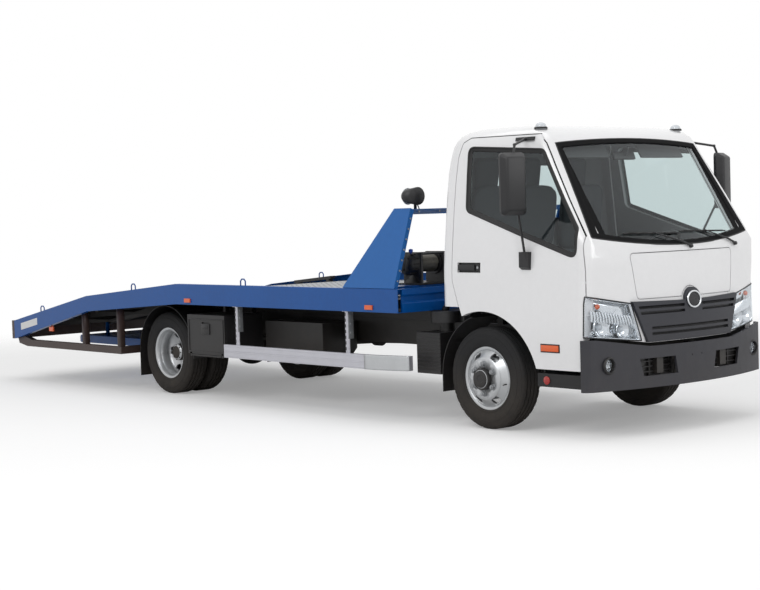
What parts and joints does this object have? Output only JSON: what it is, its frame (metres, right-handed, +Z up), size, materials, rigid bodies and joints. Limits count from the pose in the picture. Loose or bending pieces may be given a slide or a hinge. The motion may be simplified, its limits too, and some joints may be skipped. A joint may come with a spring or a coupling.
{
  "type": "flatbed tow truck",
  "caption": "Light forward-control tow truck with a tilting cab, steered front wheels, twin rear wheels, a fixed sloping car deck, sliding winch and stowed ramps.",
  "frame": {"origin": "on the ground under the middle of the overall length and width", "axes": "+X forward, +Y to the driver's left, +Z up"},
  "size_m": [8.076, 2.58, 2.27],
  "materials": {
    "white_paint": "gloss",
    "blue_paint": "gloss",
    "wing_blue": "gloss",
    "black_chassis": "satin",
    "brown_paint": "satin",
    "galvanised": "satin",
    "aluminium": "satin",
    "wheel_silver": "satin",
    "tyre_rubber": "matte",
    "dark_plastic": "textured",
    "black_plastic": "textured",
    "cast_iron": "rough",
    "rope": "worn",
    "seat_fabric": "woven",
    "interior_plastic": "grained",
    "glass": "clear",
    "lamp_clear": "clear",
    "amber_lens": "gloss",
    "red_lens": "gloss",
    "rubber": "matte"
  },
  "bodies": {
    "chassis": {"chassis_frame": "black_chassis", "engine": "cast_iron", "driveline": "cast_iron", "front_axle": "black_chassis", "rear_axle": "black_chassis", "leaf_springs": "black_chassis", "exhaust": "galvanised", "fuel_tank": "black_chassis", "battery_box": "black_plastic", "mudguards": "black_plastic", "bumper": "dark_plastic", "fog_lamps": "lamp_clear", "subframe": "black_chassis", "deck_floor": "galvanised", "side_rails": "blue_paint", "headboard": "wing_blue", "bed_front_beam": "blue_paint", "tie_down_loops": "blue_paint", "wheel_stop": "black_chassis", "tail_frame": "brown_paint", "tail_lamps": "red_lens", "side_guards": "aluminium", "marker_lamps": "amber_lens", "toolbox": "black_plastic", "work_lamp": "black_plastic", "ramp_tray": "blue_paint"},
    "toolbox_lid": {"toolbox_lid": "black_plastic"},
    "ramp_left": {"ramp_left": "aluminium"},
    "ramp_right": {"ramp_right": "aluminium"},
    "winch": {"winch": "black_chassis"},
    "winch_drum": {"winch_drum": "rope"},
    "tie_rod": {"tie_rod": "black_chassis"},
    "knuckle_left": {"knuckle_left": "cast_iron"},
    "knuckle_right": {"knuckle_right": "cast_iron"},
    "front_wheel_left": {"front_wheel_left": "wheel_silver", "front_tyre_left": "tyre_rubber"},
    "front_wheel_right": {"front_wheel_right": "wheel_silver", "front_tyre_right": "tyre_rubber"},
    "rear_wheels_left": {"rear_wheels_left": "wheel_silver", "rear_tyres_left": "tyre_rubber"},
    "rear_wheels_right": {"rear_wheels_right": "wheel_silver", "rear_tyres_right": "tyre_rubber"},
    "cab": {"cab_shell": "white_paint", "cab_floor": "rubber", "cab_glass": "glass", "grille": "dark_plastic", "cab_lamps": "lamp_clear", "dashboard": "interior_plastic", "seats": "seat_fabric", "wipers": "black_plastic"},
    "front_hatch": {"front_hatch": "white_paint"},
    "steering_wheel": {"steering_wheel": "black_plastic"},
    "door_left": {"door_left": "white_paint", "door_glass_left": "glass", "mirror_left": "black_plastic"},
    "door_right": {"door_right": "white_paint", "door_glass_right": "glass", "mirror_right": "black_plastic"}
  },
  "joints": [
    {"name": "cab_tilt", "type": "hinge", "parent": "chassis", "child": "cab", "pos_m": [3.792, 0, 0.79], "axis": [0, 1, 0], "range_deg": [0, 45]},
    {"name": "door_left_swing", "type": "hinge", "parent": "cab", "child": "door_left", "pos_m": [3.812, 0.982, 1], "axis": [0, 0, -1], "range_deg": [0, 70]},
    {"name": "door_right_swing", "type": "hinge", "parent": "cab", "child": "door_right", "pos_m": [3.812, -0.982, 1], "axis": [0, 0, 1], "range_deg": [0, 70]},
    {"name": "front_hatch_lift", "type": "hinge", "parent": "cab", "child": "front_hatch", "pos_m": [3.958, 0, 1.325], "axis": [0, -1, 0], "range_deg": [0, 60]},
    {"name": "steering_wheel_turn", "type": "hinge", "parent": "cab", "child": "steering_wheel", "pos_m": [3.282, 0.48, 1.3], "axis": [-0.6157, 0, 0.788], "range_deg": [-560, 560]},
    {"name": "steer_right", "type": "hinge", "parent": "chassis", "child": "knuckle_right", "pos_m": [2.812, -0.7505, 0.3835], "axis": [0, 0, 1], "range_deg": [-35, 35]},
    {"name": "steer_left", "type": "hinge", "parent": "chassis", "child": "knuckle_left", "pos_m": [2.812, 0.7505, 0.3835], "axis": [0, 0, 1], "range_deg": [-35, 35]},
    {"name": "tie_rod_pivot", "type": "hinge", "parent": "knuckle_right", "child": "tie_rod", "pos_m": [2.672, -0.7505, 0.2775], "axis": [0, 0, 1], "range_deg": [-35, 35]},
    {"name": "front_wheel_left_spin", "type": "hinge", "parent": "knuckle_left", "child": "front_wheel_left", "pos_m": [2.812, 0.8485, 0.3835], "axis": [0, 1, 0], "continuous": true},
    {"name": "front_wheel_right_spin", "type": "hinge", "parent": "knuckle_right", "child": "front_wheel_right", "pos_m": [2.812, -0.8485, 0.3835], "axis": [0, 1, 0], "continuous": true},
    {"name": "rear_wheels_left_spin", "type": "hinge", "parent": "chassis", "child": "rear_wheels_left", "pos_m": [-1.388, 0.758, 0.3835], "axis": [0, 1, 0], "continuous": true},
    {"name": "rear_wheels_right_spin", "type": "hinge", "parent": "chassis", "child": "rear_wheels_right", "pos_m": [-1.388, -0.758, 0.3835], "axis": [0, 1, 0], "continuous": true},
    {"name": "toolbox_lid_drop", "type": "hinge", "parent": "chassis", "child": "toolbox_lid", "pos_m": [-0.543, -1.12, 0.408], "axis": [1, 0, 0], "range_deg": [0, 90]},
    {"name": "winch_slide", "type": "slide", "parent": "chassis", "child": "winch", "axis": [0, 1, 0], "range_m": [0, 1.24]},
    {"name": "winch_drum_turn", "type": "hinge", "parent": "winch", "child": "winch_drum", "pos_m": [1.812, -0.62, 1.228], "axis": [0, 1, 0], "continuous": true},
    {"name": "ramp_left_slide", "type": "slide", "parent": "chassis", "child": "ramp_left", "axis": [-1, 0, 0], "range_m": [0, 1.4]},
    {"name": "ramp_right_slide", "type": "slide", "parent": "chassis", "child": "ramp_right", "axis": [-1, 0, 0], "range_m": [0, 1.4]}
  ],
  "couplings": [
    {"joint": "steer_left", "follows": "steer_right", "ratio": 1},
    {"joint": "tie_rod_pivot", "follows": "steer_right", "ratio": -1},
    {"joint": "steering_wheel_turn", "follows": "steer_right", "ratio": 16}
  ]
}
